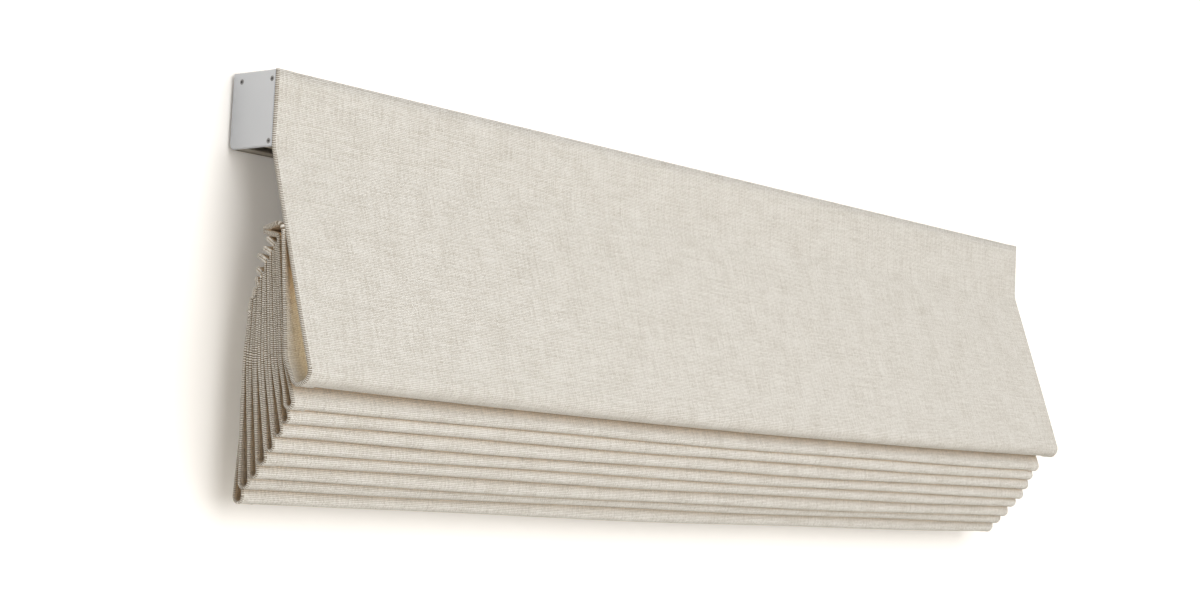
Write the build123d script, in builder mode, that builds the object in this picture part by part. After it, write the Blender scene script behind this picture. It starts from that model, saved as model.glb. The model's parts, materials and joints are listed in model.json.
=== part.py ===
from build123d import *
from math import cos, sin, radians
import os

# Roman blind, drawn all the way up, on its wall brackets.
# X runs along the blind, +Y goes into the wall, +Z is up, in millimetres.
# The origin is on the wall, at the centre of the brackets' screw pattern.

os.makedirs("parts", exist_ok=True)

# Overall sizes
blind_width = 1200
rail_height = 62
rail_depth = 50
plate_thickness = 2
wall_gap = 1
half_width = blind_width / 2
half_height = rail_height / 2
rail_front = -wall_gap - rail_depth

# Extruded head rail
wall = 1.6
lip_wall = 1.5
lip_back = -3.5
top_lip_bottom = 20
back_wall_outside = -8
latch_roof = -22.4
front_flange_edge = -40
back_flange_edge = -20
recess_depth = 1.2
recess_bottom = 10
recess_top = 28
port_radius = 2.7
port_hole_radius = 1.45
port_sides = 12
port_slot = 1.2
port_inset = 4
port_front = rail_front + port_inset
port_back = -11.6
port_top = half_height - 7.5
port_bottom = -half_height + 4.5
screw_ports = [(port_front, port_top), (port_back, port_top), (port_front, port_bottom)]

# End plates and their screws
plate_corner_radius = 5
plate_edge_softening = 1
plate_hole_radius = 1.6
screw_head_radius = 2.4
screw_sides = 12
screw_shank_radius = 1.4
screw_shank_sides = 8
screw_cone = screw_head_radius - screw_shank_radius
screw_sink = 0.06
screw_head_gap = 0.1
screw_length = 13
socket_radius = 1.1
socket_depth = 0.9

# Hook and loop strips that hold the cloth on the rail
strip_thickness = 0.9
strip_end_gap = 2

# Cloth, as wide as the rail with its end plates
cloth = 1.2
cloth_half_width = half_width + plate_thickness
cloth_back = rail_front + recess_depth - 2 * strip_thickness
cloth_middle = cloth_back - cloth / 2
fold_count = 8
face_foot = (-113, -215)
face_foot_back = (-97, -221.5)
leaf_level = -199
first_leaf = -83.5
leaf_pitch = 3.43
first_crown = (-64, -100)
crown_step = (4.4, -8.86)
first_low = (-90, -234.4)
last_low = (-32.2, -312.4)
low_bulge = 5.7
low_width = 6
low_tilt = 1
hem_width = 8.4
low_turn = 2.7
hem_top = -230
hem_stitch = -260
hem_gap = 0.3
hem_lean = 1
face_bend = 30
face_low_bend = 9
low_bend = 7
first_leaf_bend = 28
leaf_bend = 60
pocket_front_bend = 4
pocket_tip_bend = 1.3
pocket_back_bend = 1.4
hem_bend = 20

# Flat ribs in the sewn pockets behind the folds
rib_width = 10
rib_thickness = 1.5
pocket_length = 13
pocket_pitch = 3
leaf_gap = 3
first_pocket_angle = 15
pocket_angle_step = 8.5
rib_end_inset = 12
rib_edge = 0.4
rib_play = 0.2

# Rings sewn to the pockets, one row for each lift cord
cord_places = [-450, 0, 450]
ring_radius = 4
ring_hole_radius = 2.4
ring_thickness = 1.4
ring_overlap = 1.2
ring_sides = 8

# Weight bar in the bottom hem
bar_height = 25
bar_thickness = 3
bar_shift = -0.3
bar_lift = 1.8
bar_edge = 0.3
bar_end_inset = 14
bar_cap_wall = 0.5
bar_cap_overlap = 12
bar_cap_end = 2
bar_cap_edge = 0.8

# Lift tube, its drums and its bearings
tube_y = (rail_front + recess_depth + back_wall_outside) / 2
tube_z = 0
tube_radius = 15
tube_wall = 1
tube_left = -580
tube_right = 590
drum_width = 34
drum_radius = 16.8
drum_flange_radius = 18.2
drum_flange = 1.6
drum_sides = 16
bearing_gap = 0.05
fit_gap = 0.02

# Motor in the tube's left end
motor_radius = 12.5
motor_right = -290
motor_head_left = -597
motor_head_right = -582
motor_head_radius = 15
motor_head_foot = -27
motor_head_foot_width = 24
motor_foot_chamfer = 2
motor_spigot = 14
motor_shaft_radius = 4
motor_shaft_length = 30
motor_shaft_grip = 14
crown_length = 9
rim_sides = 16
wheel_length = 12
wheel_gap = 3
wheel_hole_ring = 9
wheel_hole_radius = 2.6
button_radius = 2.6
button_length = 5
button_hole_depth = 6
button_play = 0.1
button_stands_out = 1.2
button_place = -592.5
socket_length = 9
socket_width = 3.2
socket_hole_depth = 5
socket_place = -586

# End brackets of the tube, inside the rail
end_bracket_thickness = 3
end_bracket_front = -44
end_bracket_back = -14.6
idler_pin_radius = 4
idler_pin_length = 20
idler_plug_length = 18
idler_flange = 1
idler_flange_thickness = 2

# Cord guides in the rail's bottom slot
guide_length = 46
guide_width = 24
guide_thickness = 2
guide_corner = 3
guide_hole_radius = 1.5
guide_hole_sides = 12

# Wall brackets and their locking levers
bracket_places = [-450, 450]
bracket_width = 40
bracket_thickness = 2
bracket_hole_spacing = 20
bracket_hole_radius = 2.6
bracket_foot = -41
bracket_corner_cut = 3
bracket_hook_front = -7.4
bracket_hook_thickness = 1.8
bracket_hook_top = 27
lever_pivot = -36
lever_reach = 10
lever_width = 8
lever_thickness = 1.8
lever_front = -7.2
lever_hole_radius = 1.8
pin_head_radius = 3
pin_head_thickness = 0.6
pin_sides = 12
lever_play = 0.1


def save(piece, name):
    piece.part.label = name
    export_step(piece.part, f"parts/{name}.step")


def strip_area(y_low, z_low, y_high, z_high):
    # One straight wall of a section, from its low corner to its high corner.
    with Locations(((y_low + y_high) / 2, (z_low + z_high) / 2)):
        Rectangle(y_high - y_low, z_high - z_low)


# Head rail: an open box section, with a recess for the strip, a slot below for
# the cords, three screw ports, and a lip above and below for the wall brackets.
with BuildPart() as head_rail:
    with BuildSketch(Plane.YZ):
        strip_area(rail_front, half_height - wall, lip_back, half_height)
        strip_area(lip_back - lip_wall, top_lip_bottom, lip_back, half_height)
        strip_area(back_wall_outside - wall, -half_height, back_wall_outside, half_height)
        strip_area(back_wall_outside - wall, latch_roof - wall, lip_back, latch_roof)
        strip_area(lip_back - lip_wall, -half_height, lip_back, latch_roof)
        strip_area(back_flange_edge, -half_height, back_wall_outside, -half_height + wall)
        strip_area(rail_front, -half_height, front_flange_edge, -half_height + wall)
        strip_area(rail_front, -half_height, rail_front + wall, recess_bottom)
        recess_wall = rail_front + recess_depth + wall
        strip_area(rail_front, recess_bottom - wall, recess_wall, recess_bottom)
        strip_area(rail_front + recess_depth, recess_bottom, recess_wall, recess_top)
        strip_area(rail_front, recess_top, recess_wall, half_height)
        with Locations(*screw_ports):
            RegularPolygon(port_radius, port_sides)
        with Locations(*screw_ports):
            RegularPolygon(port_hole_radius, port_sides, major_radius=False, mode=Mode.SUBTRACT)
        for port_y, port_z in screw_ports:
            towards_middle = 1 if port_y < tube_y else -1
            with Locations((port_y + towards_middle * port_radius / 2, port_z)):
                Rectangle(port_radius, port_slot, mode=Mode.SUBTRACT)
    extrude(amount=half_width, both=True)
save(head_rail, "head_rail")

# End plates, with countersunk holes over the screw ports.
for side, turn in (("left", -1), ("right", 1)):
    outside = Plane.YZ if turn > 0 else Plane(origin=(0, 0, 0), x_dir=(0, -1, 0), z_dir=(-1, 0, 0))
    plate_plane = outside.offset(half_width)
    with BuildPart() as end_plate:
        with BuildSketch(plate_plane):
            with Locations((turn * (rail_front - wall_gap) / 2, 0)):
                Rectangle(rail_depth, rail_height)
        extrude(amount=plate_thickness)
        upright = end_plate.edges().filter_by(Axis.X)
        back_foot = upright.group_by(Axis.Y)[-1].sort_by(Axis.Z)[0]
        fillet(back_foot, radius=plate_corner_radius)
        rim = end_plate.faces().sort_by(Axis.X)[-1 if turn > 0 else 0].edges()
        chamfer(rim, length=plate_edge_softening)
        plate_face = outside.offset(half_width + plate_thickness)
        screw_places = [(turn * port_y, port_z) for port_y, port_z in screw_ports]
        with BuildSketch(plate_face):
            with Locations(*screw_places):
                RegularPolygon(screw_head_radius, screw_sides)
        extrude(amount=-screw_cone, taper=45, mode=Mode.SUBTRACT)
        with BuildSketch(plate_face):
            with Locations(*screw_places):
                RegularPolygon(plate_hole_radius, screw_sides)
        extrude(amount=-plate_thickness, mode=Mode.SUBTRACT)
    save(end_plate, f"end_plate_{side}")

# Countersunk end plate screws, three at each end, with a six-sided socket.
with BuildPart() as end_plate_screws:
    for turn in (-1, 1):
        head_face = Plane(
            origin=(turn * (half_width + plate_thickness - screw_sink), 0, 0),
            x_dir=(0, 1, 0),
            z_dir=(turn, 0, 0),
        )
        screw_places = [(port_y, turn * port_z) for port_y, port_z in screw_ports]
        with BuildSketch(head_face):
            with Locations(*screw_places):
                RegularPolygon(screw_head_radius - screw_head_gap, screw_sides)
        extrude(amount=-screw_cone, taper=45)
        with BuildSketch(head_face):
            with Locations(*screw_places):
                RegularPolygon(screw_shank_radius, screw_shank_sides)
        extrude(amount=-screw_length)
        with BuildSketch(head_face):
            with Locations(*screw_places):
                RegularPolygon(socket_radius, 6)
        extrude(amount=-socket_depth, mode=Mode.SUBTRACT)
save(end_plate_screws, "end_plate_screws")

# Hook strip in the rail's recess, and the loop strip sewn to the cloth.
strip_floor = rail_front + recess_depth
for name, strip_back in (("hook_strip", strip_floor), ("loop_strip", strip_floor - strip_thickness)):
    with BuildPart() as strip:
        with BuildSketch(Plane.YZ):
            strip_area(strip_back - strip_thickness, recess_bottom, strip_back, recess_top)
        extrude(amount=half_width - strip_end_gap, both=True)
    save(strip, name)


# The cloth hangs in nine loops. Its middle line is one path down the face, round
# each loop and up to each crown, where it runs out and back round a flat rib.
def low_point(loop):
    t = (loop - 2) / (fold_count - 1)
    bulge = low_bulge * 4 * t * (1 - t)
    y = first_low[0] + (last_low[0] - first_low[0]) * t - bulge
    z = first_low[1] + (last_low[1] - first_low[1]) * t
    return y, z


def pocket_frame(crown):
    y = first_crown[0] + crown_step[0] * (crown - 1)
    z = first_crown[1] + crown_step[1] * (crown - 1)
    angle = radians(first_pocket_angle + pocket_angle_step * (crown - 1))
    return Vector(y, z), Vector(cos(angle), sin(angle)), Vector(-sin(angle), cos(angle)), angle


cloth_path = [
    ((cloth_middle, half_height), 0),
    ((cloth_middle, -half_height), face_bend),
    (face_foot, face_low_bend),
    (face_foot_back, low_bend),
]
for crown in range(1, fold_count + 1):
    root, out, across, angle = pocket_frame(crown)
    half = pocket_pitch / 2
    front_shift = (leaf_gap - pocket_pitch * sin(angle)) / cos(angle)
    leaf_back = first_leaf + leaf_pitch * (2 * crown - 2)
    leaf_front = first_leaf + leaf_pitch * (2 * crown - 1)
    cloth_path.append(((leaf_back, leaf_level), first_leaf_bend if crown == 1 else leaf_bend))
    for point, radius in (
        (root + across * half - out * front_shift, pocket_front_bend),
        (root + across * half + out * pocket_length, pocket_tip_bend),
        (root - across * half + out * pocket_length, pocket_tip_bend),
        (root - across * half, pocket_back_bend),
    ):
        cloth_path.append(((point.X, point.Y), radius))
    cloth_path.append(((leaf_front, leaf_level), leaf_bend))
    low_y, low_z = low_point(crown + 1)
    low_half = (hem_width if crown == fold_count else low_width) / 2
    cloth_path.append(((low_y - low_half, low_z + low_tilt), low_turn))
    cloth_path.append(((low_y + low_half, low_z), low_turn))
last_leaf = first_leaf + leaf_pitch * (2 * fold_count - 1)
hem_line = last_leaf + hem_gap
cloth_path.append(((hem_line, hem_stitch), hem_bend))
cloth_path.append(((hem_line + hem_lean, hem_top), 0))


def shifted_path(path, shift):
    # The same path moved sideways: each corner goes along its mitre, and its
    # radius grows on the outside of the turn and shrinks on the inside.
    points = [Vector(*place) for place, _ in path]
    runs = [(b - a).normalized() for a, b in zip(points, points[1:])]
    sides = [Vector(-run.Y, run.X) for run in runs]
    corners = [points[0] + sides[0] * shift]
    radii = []
    for n in range(1, len(points) - 1):
        before, after = sides[n - 1], sides[n]
        corners.append(points[n] + (before + after) * (shift / (1 + before.dot(after))))
        turns_left = runs[n - 1].cross(runs[n]).Z > 0
        radii.append(path[n][1] - shift if turns_left else path[n][1] + shift)
    corners.append(points[-1] + sides[-1] * shift)
    return corners, radii


left_corners, left_radii = shifted_path(cloth_path, cloth / 2)
right_corners, right_radii = shifted_path(cloth_path, -cloth / 2)
with BuildPart() as blind_cloth:
    with BuildSketch(Plane.YZ) as cloth_section:
        with BuildLine():
            left_side = FilletPolyline(*left_corners, radius=left_radii)
            right_side = FilletPolyline(*right_corners, radius=right_radii)
            Line(left_side @ 0, right_side @ 0)
            Line(left_side @ 1, right_side @ 1)
        make_face()
    extrude(amount=cloth_half_width, both=True)
save(blind_cloth, "blind_cloth")
print("cloth cut length", round(cloth_section.sketch.area / cloth), "mm")

# A flat rib lies in each pocket, and a row of rings is sewn along its tip.
for crown in range(1, fold_count + 1):
    root, out, across, angle = pocket_frame(crown)
    rib_middle = root + out * (pocket_length - cloth / 2 - rib_play - rib_width / 2)
    rib_plane = Plane(
        origin=(0, rib_middle.X, rib_middle.Y),
        x_dir=(0, out.X, out.Y),
        z_dir=(1, 0, 0),
    )
    with BuildPart() as fold_rib:
        with BuildSketch(rib_plane):
            Rectangle(rib_width, rib_thickness)
        extrude(amount=half_width - rib_end_inset, both=True)
        chamfer(fold_rib.edges().filter_by(Axis.X), length=rib_edge)
    save(fold_rib, f"fold_rib_{crown}")

    tip = root + out * (pocket_length + cloth / 2)
    ring_middle = tip + out * (ring_radius - ring_overlap)
    with BuildPart() as pocket_rings:
        for place in cord_places:
            ring_plane = Plane(
                origin=(place, ring_middle.X, ring_middle.Y),
                x_dir=(1, 0, 0),
                z_dir=(0, across.X, across.Y),
            )
            with BuildSketch(ring_plane):
                RegularPolygon(ring_radius, ring_sides)
                RegularPolygon(ring_hole_radius, ring_sides, mode=Mode.SUBTRACT)
            extrude(amount=ring_thickness / 2, both=True)
    save(pocket_rings, f"pocket_rings_{crown}")

# Weight bar standing in the hem pocket, with a cap on each end.
bar_y = last_low[0] + bar_shift
bar_z = last_low[1] + cloth / 2 + bar_lift + bar_height / 2
with BuildPart() as bottom_bar:
    with BuildSketch(Plane.YZ):
        with Locations((bar_y, bar_z)):
            Rectangle(bar_thickness, bar_height)
    extrude(amount=half_width - bar_end_inset, both=True)
    chamfer(bottom_bar.edges().filter_by(Axis.X), length=bar_edge)
save(bottom_bar, "bottom_bar")

for side, turn in (("left", -1), ("right", 1)):
    bar_end = turn * (half_width - bar_end_inset)
    with BuildPart() as bar_cap:
        with BuildSketch(Plane.YZ.offset(bar_end - turn * bar_cap_overlap)):
            with Locations((bar_y, bar_z)):
                Rectangle(bar_thickness + 2 * bar_cap_wall, bar_height + 2 * bar_cap_wall)
        extrude(amount=turn * (bar_cap_overlap + bar_cap_end))
        with BuildSketch(Plane.YZ.offset(bar_end - turn * bar_cap_overlap)):
            with Locations((bar_y, bar_z)):
                Rectangle(bar_thickness, bar_height)
        extrude(amount=turn * bar_cap_overlap, mode=Mode.SUBTRACT)
        chamfer(bar_cap.edges().filter_by(Axis.X).group_by(SortBy.LENGTH)[-1], length=bar_cap_edge)
    save(bar_cap, f"bottom_bar_cap_{side}")

# Everything on the tube's line is drawn on planes across that line.
def section_plane(x):
    return Plane(origin=(x, tube_y, tube_z), x_dir=(0, 1, 0), z_dir=(1, 0, 0))


with BuildPart() as lift_tube:
    with BuildSketch(section_plane(tube_left)):
        Circle(tube_radius)
        Circle(tube_radius - tube_wall, mode=Mode.SUBTRACT)
    extrude(amount=tube_right - tube_left)
save(lift_tube, "lift_tube")

# Cord drums, slid onto the tube: a many-sided core with a flange at each end.
for name, place in zip(("left", "centre", "right"), cord_places):
    start = place - drum_width / 2
    end = place + drum_width / 2
    with BuildPart() as cord_drum:
        for x, radius, length in (
            (start, drum_flange_radius, drum_flange),
            (start, drum_radius, drum_width),
            (end - drum_flange, drum_flange_radius, drum_flange),
        ):
            with BuildSketch(section_plane(x)):
                RegularPolygon(radius, drum_sides)
            extrude(amount=length)
        with BuildSketch(section_plane(start)):
            RegularPolygon(tube_radius + fit_gap, drum_sides, major_radius=False)
        extrude(amount=drum_width, mode=Mode.SUBTRACT)
    save(cord_drum, f"cord_drum_{name}")

# Tube motor: a plain cylinder in the tube, its head in the rail's left end.
with BuildPart() as motor_body:
    with BuildSketch(section_plane(motor_head_right)):
        Circle(motor_radius)
    extrude(amount=motor_right - motor_head_right)
    with BuildSketch(section_plane(motor_right)):
        Circle(motor_shaft_radius + bearing_gap)
    extrude(amount=-motor_shaft_grip, mode=Mode.SUBTRACT)
save(motor_body, "motor_body")

with BuildPart() as motor_head:
    with BuildSketch(section_plane(motor_head_left)):
        RegularPolygon(motor_head_radius, rim_sides)
        with Locations((0, (motor_head_foot - tube_z) / 2)):
            Rectangle(motor_head_foot_width, tube_z - motor_head_foot)
    extrude(amount=motor_head_right - motor_head_left)
    foot_edges = motor_head.edges().filter_by(Axis.X).group_by(Axis.Z)[0]
    chamfer(foot_edges, length=motor_foot_chamfer)
    with BuildSketch(section_plane(motor_head_left)):
        Rectangle(motor_spigot, motor_spigot)
    extrude(amount=-end_bracket_thickness)
    foot_plane = Plane.XY.offset(motor_head_foot)
    with BuildSketch(foot_plane):
        with Locations((button_place, tube_y)):
            Circle(button_radius + button_play)
    extrude(amount=button_hole_depth, mode=Mode.SUBTRACT)
    with BuildSketch(foot_plane):
        with Locations((socket_place, tube_y)):
            SlotOverall(socket_length, socket_width, rotation=90)
    extrude(amount=socket_hole_depth, mode=Mode.SUBTRACT)
save(motor_head, "motor_head")

with BuildPart() as motor_button:
    with BuildSketch(Plane.XY.offset(motor_head_foot - button_stands_out)):
        with Locations((button_place, tube_y)):
            RegularPolygon(button_radius, rim_sides)
    extrude(amount=button_length)
save(motor_button, "motor_button")

# The pieces pressed into the tube are ribbed outside, so their rims have many flats.
with BuildPart() as crown_ring:
    with BuildSketch(section_plane(tube_left)):
        RegularPolygon(tube_radius - tube_wall - fit_gap, rim_sides)
        RegularPolygon(motor_radius + bearing_gap, rim_sides, major_radius=False, mode=Mode.SUBTRACT)
    extrude(amount=crown_length)
save(crown_ring, "crown_ring")

# A six-sided shaft, which turns in the motor's round bore.
with BuildPart() as motor_shaft:
    with BuildSketch(section_plane(motor_right - motor_shaft_grip + 1)):
        RegularPolygon(motor_shaft_radius, 6)
    extrude(amount=motor_shaft_length)
save(motor_shaft, "motor_shaft")

# The drive wheel joins the motor's shaft to the tube by a hub, six arms and a rim.
with BuildPart() as drive_wheel:
    with BuildSketch(section_plane(motor_right + wheel_gap)):
        RegularPolygon(tube_radius - tube_wall - fit_gap, rim_sides)
        RegularPolygon(motor_shaft_radius + fit_gap, 6, mode=Mode.SUBTRACT)
        with PolarLocations(wheel_hole_ring, 6):
            RegularPolygon(wheel_hole_radius, 6, mode=Mode.SUBTRACT)
    extrude(amount=wheel_length)
save(drive_wheel, "drive_wheel")

# Idler at the tube's right end: a flanged plug turning on a fixed pin.
pin_end = half_width - end_bracket_thickness
with BuildPart() as idler_plug:
    with BuildSketch(section_plane(tube_right)):
        RegularPolygon(tube_radius - tube_wall - fit_gap, rim_sides)
    extrude(amount=-idler_plug_length)
    with BuildSketch(section_plane(tube_right)):
        RegularPolygon(tube_radius + idler_flange, rim_sides)
    extrude(amount=idler_flange_thickness)
    with BuildSketch(section_plane(tube_right + idler_flange_thickness)):
        Circle(idler_pin_radius + bearing_gap)
    extrude(amount=-idler_plug_length - idler_flange_thickness, mode=Mode.SUBTRACT)
save(idler_plug, "idler_plug")

with BuildPart() as idler_pin:
    with BuildSketch(section_plane(half_width)):
        RegularPolygon(idler_pin_radius, rim_sides)
    extrude(amount=-idler_pin_length - end_bracket_thickness)
save(idler_pin, "idler_pin")

# End brackets inside the rail, standing on its two bottom flanges.
bracket_middle = (end_bracket_front + end_bracket_back) / 2
for name, start, hole in (
    ("motor_bracket", -half_width, "square"),
    ("idler_bracket", pin_end, "round"),
):
    with BuildPart() as end_bracket:
        with BuildSketch(Plane.YZ.offset(start)) as bracket_outline:
            with Locations((bracket_middle, 0)):
                Rectangle(end_bracket_back - end_bracket_front, rail_height - 2 * wall)
            chamfer(bracket_outline.vertices(), length=1)
            with Locations((tube_y, tube_z)):
                if hole == "square":
                    Rectangle(motor_spigot, motor_spigot, mode=Mode.SUBTRACT)
                else:
                    RegularPolygon(idler_pin_radius, rim_sides, mode=Mode.SUBTRACT)
        extrude(amount=end_bracket_thickness)
    save(end_bracket, name)

# Cord guides: a plate on the flanges, a tongue in the slot and a round eye.
slot_middle = (front_flange_edge + back_flange_edge) / 2
slot_width = back_flange_edge - front_flange_edge
for name, place in zip(("left", "centre", "right"), cord_places):
    with BuildPart() as cord_guide:
        with BuildSketch(Plane.XY.offset(-half_height + wall)):
            with Locations((place, slot_middle)):
                Rectangle(guide_length, guide_width)
        extrude(amount=guide_thickness)
        chamfer(cord_guide.edges().filter_by(Axis.Z), length=guide_corner)
        with BuildSketch(Plane.XY.offset(-half_height + wall)):
            with Locations((place, slot_middle)):
                Rectangle(guide_length - 2 * guide_corner, slot_width)
        extrude(amount=-wall)
        with BuildSketch(Plane.XY.offset(-half_height)):
            with Locations((place, slot_middle)):
                RegularPolygon(guide_hole_radius, guide_hole_sides)
        extrude(amount=wall + guide_thickness, mode=Mode.SUBTRACT)
    save(cord_guide, f"cord_guide_{name}")

# Wall brackets: a bent steel strip. The rail's upper lip hangs on its hook, and
# a lever on its foot turns up in front of the lower lip.
for name, place in zip(("left", "right"), bracket_places):
    with BuildPart() as wall_bracket:
        with BuildSketch(Plane.YZ.offset(place)):
            arm_bottom = top_lip_bottom - bracket_hook_thickness
            strip_area(-bracket_thickness, bracket_foot, 0, top_lip_bottom)
            strip_area(bracket_hook_front, arm_bottom, 0, top_lip_bottom)
            strip_area(
                bracket_hook_front,
                arm_bottom,
                bracket_hook_front + bracket_hook_thickness,
                bracket_hook_top,
            )
        extrude(amount=bracket_width / 2, both=True)
        foot_corners = wall_bracket.edges().filter_by(Axis.Y).group_by(Axis.Z)[0]
        chamfer(foot_corners, length=bracket_corner_cut)
        with BuildSketch(Plane.XZ):
            with Locations(*[(place, z) for z in (-bracket_hole_spacing / 2, bracket_hole_spacing / 2)]):
                Circle(bracket_hole_radius)
        extrude(amount=bracket_thickness, mode=Mode.SUBTRACT)
    save(wall_bracket, f"wall_bracket_{name}")

    pin_start = -lever_front - lever_thickness
    with BuildPart() as lever_pin:
        with BuildSketch(Plane.XZ.offset(bracket_thickness)):
            with Locations((place, lever_pivot)):
                RegularPolygon(lever_hole_radius - bearing_gap, pin_sides)
        extrude(amount=-lever_front - bracket_thickness + lever_play)
        with BuildSketch(Plane.XZ.offset(-lever_front + lever_play)):
            with Locations((place, lever_pivot)):
                RegularPolygon(pin_head_radius, pin_sides)
        extrude(amount=pin_head_thickness)
        with BuildSketch(Plane.XZ.offset(bracket_thickness)):
            with Locations((place, lever_pivot)):
                RegularPolygon(pin_head_radius, pin_sides)
        extrude(amount=pin_start - bracket_thickness - lever_play)
    save(lever_pin, f"lever_pin_{name}")

    with BuildPart() as lock_lever:
        with BuildSketch(Plane.XZ.offset(pin_start)):
            with Locations((place, lever_pivot)):
                arm = lever_reach - lever_width / 2
                SlotCenterPoint((0, arm / 2), (0, arm), lever_width)
            with Locations((place, lever_pivot)):
                Circle(lever_hole_radius, mode=Mode.SUBTRACT)
        extrude(amount=lever_thickness)
    save(lock_lever, f"lock_lever_{name}")
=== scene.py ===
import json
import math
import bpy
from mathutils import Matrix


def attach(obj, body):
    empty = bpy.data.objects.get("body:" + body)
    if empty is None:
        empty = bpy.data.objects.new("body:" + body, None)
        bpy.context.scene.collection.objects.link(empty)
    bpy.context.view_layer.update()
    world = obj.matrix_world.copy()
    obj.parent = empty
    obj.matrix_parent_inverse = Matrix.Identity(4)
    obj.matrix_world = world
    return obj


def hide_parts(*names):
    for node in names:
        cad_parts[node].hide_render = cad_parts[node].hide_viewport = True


bl_info = {
    "name": "Roman blind dressing",
    "version": (1, 0, 0),
    "blender": (4, 5, 0),
    "location": "3D View > Sidebar > Blind",
    "description": "Linen cloth, aluminium rail and studio for a roman blind drawn all the way up",
    "category": "Object",
}

import bpy
import numpy as np
from bpy.props import FloatProperty, FloatVectorProperty, PointerProperty
from mathutils import Matrix, Vector

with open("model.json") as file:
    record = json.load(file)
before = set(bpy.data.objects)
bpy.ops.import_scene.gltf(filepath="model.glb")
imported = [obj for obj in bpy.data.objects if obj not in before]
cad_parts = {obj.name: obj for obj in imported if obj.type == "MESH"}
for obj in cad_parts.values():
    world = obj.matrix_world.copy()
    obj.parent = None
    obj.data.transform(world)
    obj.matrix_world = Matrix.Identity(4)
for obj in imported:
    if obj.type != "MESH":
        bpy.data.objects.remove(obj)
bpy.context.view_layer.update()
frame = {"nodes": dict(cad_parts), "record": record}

MM = 0.001

# Sizes that the part's source also has, in millimetres
HALF_WIDTH = 602
HALF_HEIGHT = 31
CLOTH_MIDDLE = -52.2
FOLD_COUNT = 8
FACE_FOOT = (-113, -215)
FACE_FOOT_BACK = (-97, -221.5)
LEAF_LEVEL = -199
FIRST_LEAF = -83.5
LEAF_PITCH = 3.43
FIRST_CROWN = (-64, -100)
CROWN_STEP = (4.4, -8.86)
POCKET_LENGTH = 13
POCKET_PITCH = 3
LEAF_GAP = 3
FIRST_POCKET_ANGLE = 15
POCKET_ANGLE_STEP = 8.5
FIRST_LOW = (-90, -234.4)
LAST_LOW = (-32.2, -312.4)
LOW_BULGE = 5.7
LOW_TILT = 1
HEM_TOP = -230
HEM_STITCH = -260
HEM_GAP = 0.3
HEM_LEAN = 1

# Radii of the section's corners, in millimetres
RAIL_FOOT_TURN = 30
FIRST_FOLD_TURNS = (9, 7)
LEAF_TURN = 60
FIRST_LEAF_TURN = 28
ARCH_TURN = 4.0
NECK_TURN = 1.0
TIP_TURN = 1.3
UNDER_TURN = 1.4
HEM_STITCH_TURN = 20

# The low folds: their widths, how far each hangs below its line, and their radius as a share of the width
LOW_WIDTHS = (9.4, 9.4, 9.0, 8.2, 10.4, 9.2, 11.4, 11.4)
LOW_DROPS = (3.2, 3.8, 3.4, 3.6, 3, 3, 0, 0)
LOW_ROUNDNESS = 0.46

# The pockets at the cloth's two ends, beyond the ribs, as (y, z) in millimetres
END_TIPS = (
    (-48.6, -97.3),
    (-51.6, -104.1),
    (-48.8, -112.0),
    (-43.0, -117.4),
    (-42.5, -128.3),
    (-42.4, -135.6),
    (-41.0, -144.0),
    (-37.2, -151.5),
)
END_ROOTS = (
    (-57.5, -99.2),
    (-61.0, -109.5),
    (-57.3, -115.8),
    (-52.6, -122.3),
    (-49.0, -132.6),
    (-45.0, -142.6),
    (-40.6, -151.2),
    (-35.6, -161.0),
)
END_TIP_PITCH = 2.0
END_TIP_TURN = 0.95
END_ARCH = (-2.7, 0.8)
END_ARCH_TURN = 2.0

# The first pocket's end, which opens into a hood
HOOD_ARCH = (-71.0, -90.4)
HOOD_NECK = (-56.8, -95.1)
HOOD_UNDER = (-65.0, -102.6)
HOOD_TURN = 7.5
HOOD_TIP_PITCH = 2.6

# The pinch starts where the ribs end
PINCH_START = 586
PINCH_END = 600

# How far the ends of the layers stand out at each low fold, from the front to the back
LEFT_SPREAD = (4.5, 1.5, 0, 1, 2, 3, 2, 2, -3)
RIGHT_SPREAD = (14, -5, -10, -8, -6, -11, -13, -14, -13)

# Sag and swell of the cloth, in millimetres, and in radians from end to end or from fold to fold
SAG_START = -165
SAG_END = -232
FACE_DROP = 190
FACE_SAG_POWER = 1.5
FOLD_UNEVENNESS = 0.25
UNEVEN_TURN = 2.4
FOLD_WAVE = 0.5
WAVES_A_SPAN = 7.3
WAVE_TURN = 1.9
FACE_SWELL = 0.9
SWELLS_A_SPAN = 5.2
SWELL_START = 0.8
FACE_HOLLOW = 2.0

# Places along the path: n to n + 0.5 is the run after corner n, and n + 0.5 to n + 1 the arc after that run.
# Those of a crown count from its own first corner.
FACE_CORNERS = 4
CORNERS_A_CROWN = 9
FIRST_LOW_PLACE = 2.25
TIP_STEP = 3.25
LOW_STEP = 7.25
POCKET_PLACES = (0.5, 1.0, 5.0, 5.5)
CLOSED_PLACES = (1, 5)
LOOP_PLACES = (6.1, 6.5, 8.0, 8.4)
LAST_PLACE = FACE_CORNERS + CORNERS_A_CROWN * FOLD_COUNT + 0.5
STITCH_PLACE = LAST_PLACE - 0.75

# Half the side hem's thickness: in the pockets and low folds in metres, and on the face and the first crown
# in millimetres at path places
POCKET_HALF = 0.95 * MM
LOOP_HALF = 0.95 * MM
HOOD_PLACES = (4.5, 5.5, 6.25, 7.25, 8.25, 9.0, 9.5)
HOOD_HALVES = (1.5, 1.5, 2.1, 1.3, 1.9, 1.5, 1.5)

# Half the width over which the cloth thickens into its side hem, in millimetres
HEM_STEP_HALF = 0.8

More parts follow.
